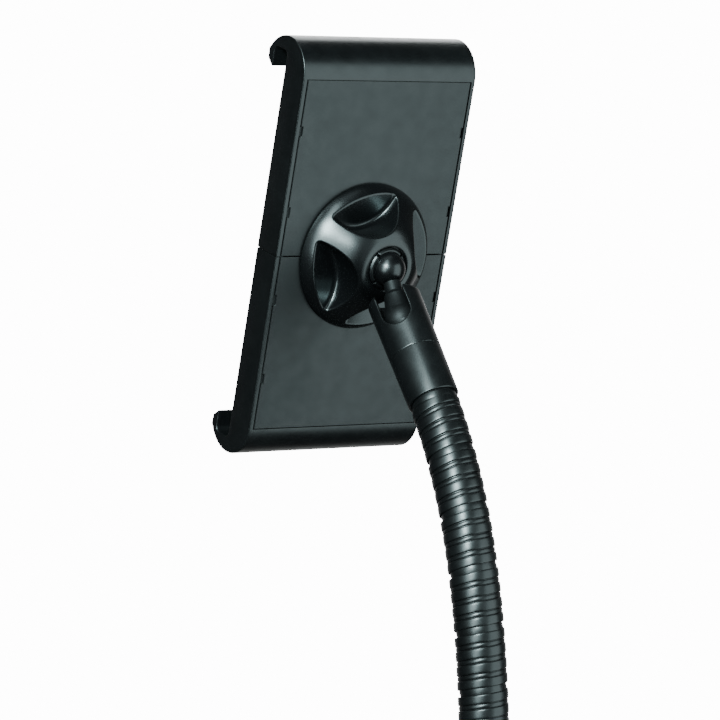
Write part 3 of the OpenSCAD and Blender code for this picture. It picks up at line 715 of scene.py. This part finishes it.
def knob_field(x, y, z):
    """Domed knob with a flat hub, finger pockets and the bore for the liner."""
    rho = np.hypot(x, y)
    body = np.sqrt(rho ** 2 + (z - DOME_Z) ** 2) - DOME_R
    bevel = ((rho - KNOB_R) * BEVEL_OUT + (z - BEVEL_Z) * BEVEL_UP) / BEVEL_LEN
    body = smooth_max(body, bevel, BEVEL_ROUND)
    body = smooth_max(body, rho - KNOB_R, RIM_ROUND)
    cap = z - HUB_H + HUB_DISH * np.clip((HUB_DISH_R - rho) / HUB_DISH_RUN, 0, 1)
    body = smooth_max(body, cap, HUB_ROUND)
    body = smooth_max(body, KNOB_LOW - z, FOOT_ROUND)
    for k in range(POCKETS):
        a = math.radians(POCKET_TURN - 90 + 360 / POCKETS * k)
        away = np.hypot(x - (POCKET_IN + POCKET_R) * math.cos(a), y - (POCKET_IN + POCKET_R) * math.sin(a))
        out = x * math.cos(a) + y * math.sin(a)
        floor_z = POCKET_FLOOR - (POCKET_EDGE - out) * math.tan(POCKET_SLOPE)
        pocket = smooth_max(away - POCKET_R, (floor_z - z) * math.cos(POCKET_SLOPE), POCKET_ROUND)
        body = smooth_max(body, -pocket, SOFT_EDGE)
    bore = np.maximum(rho - KNOB_BORE_R, z - KNOB_BORE_TOP)
    hole = np.minimum(bore, rho - KNOB_HOLE_R)
    return smooth_max(body, -hole, HOLE_ROUND)


points, quads = net(knob_field, *KNOB_BOX, KNOB_STEP)
knob = add_piece("clamp_knob_piece", points, quads, KNOB_BLACK, "knob", KNOB, NET_SHARP)
stands_for(knob, "knob_plastic", "clamp_knob")

# Jaws. Outlines are rows of (depth, height), and the lower jaw is the upper one turned over.

EDGE = 0.5
EDGE_ROWS = 4
PANEL_EDGE = 48.6
PANEL_DEPTH = 2.5
PANEL_TOP = 87.75
CAVITY_EDGE = 45.9
CAVITY_DEPTH = 14.7
CAVITY_TOP = 83
HOOK_ROOF = 97.5
HOOK_BACK = 28.2
HOOK_INSIDE = [(HOOK_BACK, 86.7, 0.4), (32.6, 90.4, 0.4), (33.0, 95.3, 0.4)]
HOOK_TIP = (31.9, 96.45)
HOOK_ROWS = 48
HOOK_CORNER = 3.0
BACK_TOP = (0.0, 87.9)
BACK_ROWS = (84, 60, 30)
RECESS_ROW = 41
JAW_SHARP = 30
LEAST_MITER = 0.35
SHORTEST = 1e-9
LIP_X = (46.4, 50.2)
LIP_DEPTH = (0.8, 16.4)
LIP_LOW = -0.17
LIP_FACES = [(0, 1, 3, 2), (4, 5, 7, 6), (0, 1, 5, 4), (2, 3, 7, 6), (0, 2, 6, 4), (1, 3, 7, 5)]


def jaw_sections():
    """Side outline of a jaw and its two cut-back forms, as equal lists of (depth, height)."""
    inner = rounded([
        (JAW_DEPTH, SEAM, 0), (JAW_DEPTH, HOOK_ROOF, HOOK_CORNER), (HOOK_BACK, HOOK_ROOF, HOOK_CORNER),
        *HOOK_INSIDE, (*HOOK_TIP, 0)], False)
    start = math.atan2(HOOK_TIP[1] - JAW_H, HOOK_TIP[0] - JAW_DEPTH)
    angles = np.linspace(start, math.pi, HOOK_ROWS)[1:]
    outer = [(JAW_DEPTH + JAW_DEPTH * math.cos(a), JAW_H + JAW_DEPTH * math.sin(a)) for a in angles]
    outer[-1] = BACK_TOP
    shared = [tuple(p) for p in inner] + outer + [(0.0, PANEL_TOP)]
    ledge = [(PANEL_DEPTH, PANEL_TOP), (PANEL_DEPTH, CAVITY_TOP)]
    full = shared + [(0, h) for h in (*BACK_ROWS, SEAM)]
    recess = shared + ledge + [(PANEL_DEPTH, RECESS_ROW), (PANEL_DEPTH, SEAM)]
    hollow = shared + ledge + [(CAVITY_DEPTH, CAVITY_TOP), (CAVITY_DEPTH, SEAM)]
    return full, recess, hollow


def inset(outline, amount):
    """Outline with each point moved inwards by amount."""
    points = np.array(outline, float)
    before = points - np.roll(points, 1, 0)
    after = np.roll(points, -1, 0) - points
    before /= np.maximum(np.linalg.norm(before, axis=1), SHORTEST)[:, None]
    after /= np.maximum(np.linalg.norm(after, axis=1), SHORTEST)[:, None]
    n1 = np.stack([-before[:, 1], before[:, 0]], 1)
    n2 = np.stack([-after[:, 1], after[:, 0]], 1)
    miter = (n1 + n2) / np.maximum(1 + (n1 * n2).sum(1), LEAST_MITER)[:, None]
    return points + amount * miter


def jaw_piece(side):
    """Points and faces of a jaw, from its outline at each step of its width."""
    full, recess, hollow = jaw_sections()
    rings = []
    for s in range(EDGE_ROWS + 1):
        a = math.pi / 2 * s / EDGE_ROWS
        rings.append((JAW_W / 2 - EDGE + EDGE * math.cos(a), inset(full, EDGE * (1 - math.sin(a)))))
    rings.append((PANEL_EDGE, np.array(full)))
    rings.append((PANEL_EDGE, np.array(recess)))
    rings.append((CAVITY_EDGE, np.array(recess)))
    rings.append((CAVITY_EDGE, np.array(hollow)))
    rings += [(-x, ring) for x, ring in reversed(rings)]
    verts, faces = [], []
    count = len(full)
    for x, ring in rings:
        verts += [(side * x, -d, side * h) for d, h in ring]
    for m in range(len(rings) - 1):
        for i in range(count):
            j = (i + 1) % count
            faces.append((m * count + i, m * count + j, (m + 1) * count + j, (m + 1) * count + i))
    faces.append(tuple(range(count)))
    faces.append(tuple((len(rings) - 1) * count + i for i in range(count)))
    return verts, faces


for side, word in ((1, "upper"), (-1, "lower")):
    body = word + "_jaw"
    shell = add_piece(word + "_jaw_shell", *jaw_piece(side), PLASTIC, body, HOLDER, JAW_SHARP)
    stands_for(shell, "satin_plastic", word + "_frame")
    # Flat shading keeps the tone of the panel's long faces even
    softened(word + "_rear_panel", 0.25, PANEL, 2, 0.0)
    for pad in ("_hook_pad", "_front_pad"):
        softened(word + pad, 0.4, RUBBER, 3)

# Lips of the upper jaw that close the seam to the lower one
for side, word in ((1, "left"), (-1, "right")):
    lip = [(side * x, -d, z) for x in LIP_X for d in LIP_DEPTH for z in (LIP_LOW, SEAM)]
    add_piece("upper_jaw_lip_" + word, lip, LIP_FACES, PLASTIC, "upper_jaw", HOLDER)

softened("chassis", 0.4, PLASTIC, 2)

# Return springs, each in two halves, an upper and a lower

SPRING_X = 27.0
SPRING_DEPTH = 10.75
PEG_ROW = 50.0
SPRING_WIRE = 0.5
SPRING_R = 2.9
SPRING_LEN = 44.0
SPRING_TURNS = 20
SPRING_EYE_R = 2.3
SPRING_LEAD = [(1.2, 0.0, SPRING_LEN + 1.2), (0.0, 0.0, SPRING_LEN + 2.6)]
TURN_STEPS = 20
WIRE_SIDES = 8
WIRE_WAY = (0.31, 0.87, 0.38)


def coil_half(side, end):
    """Half of a spring from its middle to its eye, as a tube along a helix."""
    line = []
    for s in range(SPRING_TURNS * TURN_STEPS + 1):
        a = 2 * math.pi * s / TURN_STEPS
        line.append((SPRING_R * math.cos(a), SPRING_R * math.sin(a), SPRING_LEN * s / (SPRING_TURNS * TURN_STEPS)))
    line += SPRING_LEAD
    for s in range(TURN_STEPS + 1):
        a = 2 * math.pi * s / TURN_STEPS - math.pi / 2
        line.append((SPRING_EYE_R * math.cos(a), 0.0, PEG_ROW + SPRING_EYE_R * math.sin(a)))
    line = np.array(line) * (1, 1, end)
    tangent = np.gradient(line, axis=0)
    tangent /= np.linalg.norm(tangent, axis=1)[:, None]
    side_way = np.cross(tangent, WIRE_WAY)
    side_way /= np.linalg.norm(side_way, axis=1)[:, None]
    other = np.cross(tangent, side_way)
    verts, faces, ring = [], [], WIRE_SIDES
    for p, u, v in zip(line, side_way, other):
        for i in range(ring):
            a = 2 * math.pi * i / ring
            q = p + SPRING_WIRE * (math.cos(a) * u + math.sin(a) * v)
            verts.append((side * SPRING_X + q[0], -SPRING_DEPTH + q[1], q[2]))
    for s in range(len(line) - 1):
        for i in range(ring):
            j = (i + 1) % ring
            faces.append((s * ring + i, s * ring + j, (s + 1) * ring + j, (s + 1) * ring + i))
    faces.append(tuple(range(ring)))
    faces.append(tuple((len(line) - 1) * ring + i for i in range(ring)))
    return verts, faces


for side, word in ((1, "left"), (-1, "right")):
    for end, jaw in ((1, "upper"), (-1, "lower")):
        half = add_piece("%s_spring_%s_half" % (word, jaw), *coil_half(side, end), STEEL, None, HOLDER, ROUND_SHARP)
        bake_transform(half)
        stands_for(half, "plain_steel", word + "_spring")

# Solids that stay as they are

for names, material in (
        (("ball_cup",), PLASTIC),
        (("tube_bush", "lock_collet", "slider_bush", "pinion", "upper_rack", "lower_rack"), NYLON),
        (("base_bolt", "pole_plug", "ferrule_screw", "pinion_screw", "upper_rack_screws", "lower_rack_screws"), STEEL)):
    for name in names:
        nodes[name].data.materials.clear()
        nodes[name].data.materials.append(material)

# Floor, light and camera

# The floor fades out before its rim, and is left out of reflections
FLOOR_R = 4.0
FLOOR_SIDES = 96
FLOOR_FADE = (1.0, 3.6)
FLOOR_TONE = (0.8, 0.8, 0.8, 1)
floor_mesh = bpy.data.meshes.new("floor")
floor_mesh.from_pydata([(FLOOR_R * math.cos(a), FLOOR_R * math.sin(a), 0)
                        for a in np.linspace(0, 2 * math.pi, FLOOR_SIDES + 1)[:-1]], [], [tuple(range(FLOOR_SIDES))])
floor = bpy.data.objects.new("floor", floor_mesh)
bpy.context.scene.collection.objects.link(floor)
floor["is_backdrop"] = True
pale = bpy.data.materials.new("pale_floor")
pale.use_nodes = True
tree = pale.node_tree
tree.nodes.remove(tree.nodes["Principled BSDF"])
coords = tree.nodes.new("ShaderNodeTexCoord")
length = tree.nodes.new("ShaderNodeVectorMath")
length.operation = "LENGTH"
fade = tree.nodes.new("ShaderNodeMapRange")
fade.interpolation_type = "SMOOTHSTEP"
fade.inputs["From Min"].default_value, fade.inputs["From Max"].default_value = FLOOR_FADE
diffuse = tree.nodes.new("ShaderNodeBsdfDiffuse")
diffuse.inputs["Color"].default_value = FLOOR_TONE
clear = tree.nodes.new("ShaderNodeBsdfTransparent")
blend = tree.nodes.new("ShaderNodeMixShader")
tree.links.new(coords.outputs["Object"], length.inputs[0])
tree.links.new(length.outputs["Value"], fade.inputs["Value"])
path = tree.nodes.new("ShaderNodeLightPath")
either = tree.nodes.new("ShaderNodeMath")
either.operation = "MAXIMUM"
tree.links.new(fade.outputs["Result"], either.inputs[0])
tree.links.new(path.outputs["Is Glossy Ray"], either.inputs[1])
tree.links.new(either.outputs["Value"], blend.inputs["Fac"])
tree.links.new(diffuse.outputs["BSDF"], blend.inputs[1])
tree.links.new(clear.outputs["BSDF"], blend.inputs[2])
tree.links.new(blend.outputs["Shader"], tree.nodes["Material Output"].inputs["Surface"])
floor_mesh.materials.append(pale)

# Direction and target of the lens. The backdrop is white to the lens, and glows behind the stand for the rest.
LOOK = Vector((-0.5734, -0.8180, -0.0461)).normalized()
TARGET = MM * BALL
GLOW_ANGLE = (0.6, 0.95)
GLOW_LEVEL = (0.06, 1.0)
BACKDROP = 14.0

world = bpy.data.worlds.new("studio")
bpy.context.scene.world = world
world.use_nodes = True
tree = world.node_tree
tree.nodes.clear()
coords = tree.nodes.new("ShaderNodeTexCoord")
dot = tree.nodes.new("ShaderNodeVectorMath")
dot.operation = "DOT_PRODUCT"
dot.inputs[1].default_value = (LOOK.x, LOOK.y, 0)
glow = tree.nodes.new("ShaderNodeMapRange")
glow.interpolation_type = "SMOOTHSTEP"
glow.inputs["From Min"].default_value, glow.inputs["From Max"].default_value = GLOW_ANGLE
glow.inputs["To Min"].default_value, glow.inputs["To Max"].default_value = GLOW_LEVEL
around = tree.nodes.new("ShaderNodeBackground")
seen = tree.nodes.new("ShaderNodeBackground")
seen.inputs["Color"].default_value = (1, 1, 1, 1)
seen.inputs["Strength"].default_value = BACKDROP
path = tree.nodes.new("ShaderNodeLightPath")
either = tree.nodes.new("ShaderNodeMixShader")
out = tree.nodes.new("ShaderNodeOutputWorld")
tree.links.new(coords.outputs["Generated"], dot.inputs[0])
tree.links.new(dot.outputs["Value"], glow.inputs["Value"])
tree.links.new(glow.outputs["Result"], around.inputs["Strength"])
tree.links.new(path.outputs["Is Camera Ray"], either.inputs["Fac"])
tree.links.new(around.outputs["Background"], either.inputs[1])
tree.links.new(seen.outputs["Background"], either.inputs[2])
tree.links.new(either.outputs["Shader"], out.inputs["Surface"])


def soft_light(name, towards, distance, size, radiance):
    """Soft box in the direction towards, seen from the ball, turned to it."""
    way = Vector(towards).normalized()
    data = bpy.data.lights.new(name, "AREA")
    data.shape = "RECTANGLE"
    data.size, data.size_y = size
    data.energy = radiance * math.pi * size[0] * size[1]
    lamp = bpy.data.objects.new(name, data)
    lamp.location = TARGET + way * distance
    lamp.rotation_mode = "QUATERNION"
    lamp.rotation_quaternion = (-way).to_track_quat("-Z", "Y")
    lamp.visible_camera = False
    bpy.context.scene.collection.objects.link(lamp)


def from_lens(left, up):
    """Direction from the ball that lies left of the lens and above the horizon, in degrees."""
    back = Vector((-LOOK.x, -LOOK.y, 0)).normalized()
    flat = Matrix.Rotation(math.radians(-left), 3, "Z") @ back
    return flat * math.cos(math.radians(up)) + Vector((0, 0, math.sin(math.radians(up))))


# Name, direction, distance, size and radiance of each soft box
for light in (
        ("key", from_lens(14, 21), 2.0, (0.44, 0.6), 120.0),
        ("key_wide", from_lens(22, 10), 2.05, (0.95, 1.7), 5.0),
        ("key_low", from_lens(26, -4), 2.0, (0.5, 0.8), 7.0),
        ("key_high", from_lens(12, 46), 2.0, (0.5, 0.9), 9.0),
        ("side", from_lens(48, 12), 2.1, (1.0, 1.6), 0.6),
        ("card", from_lens(-38, 2), 2.2, (1.5, 1.8), 0.5),
        ("fill", from_lens(-66, -10), 0.9, (0.76, 1.22), 3.0),
        ("top", (0.1, 0.1, 1.0), 2.4, (1.6, 1.6), 0.8),
        ("back", from_lens(180, 30), 2.0, (0.9, 2.2), 4.5)):
    soft_light(*light)

SENSOR_W = 36.0
LENS = 200.5
CLIP_END = 100.0
CAMERA_SPOT = Vector((1.1228, 1.5781, 0.0453))
camera_data = bpy.data.cameras.new("camera")
camera_data.sensor_width = SENSOR_W
camera_data.lens = LENS
camera_data.clip_end = CLIP_END
camera = bpy.data.objects.new("camera", camera_data)
camera.location = TARGET + CAMERA_SPOT
camera.rotation_mode = "QUATERNION"
camera.rotation_quaternion = LOOK.to_track_quat("-Z", "Y")
bpy.context.scene.collection.objects.link(camera)
bpy.context.scene.camera = camera

low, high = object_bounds()
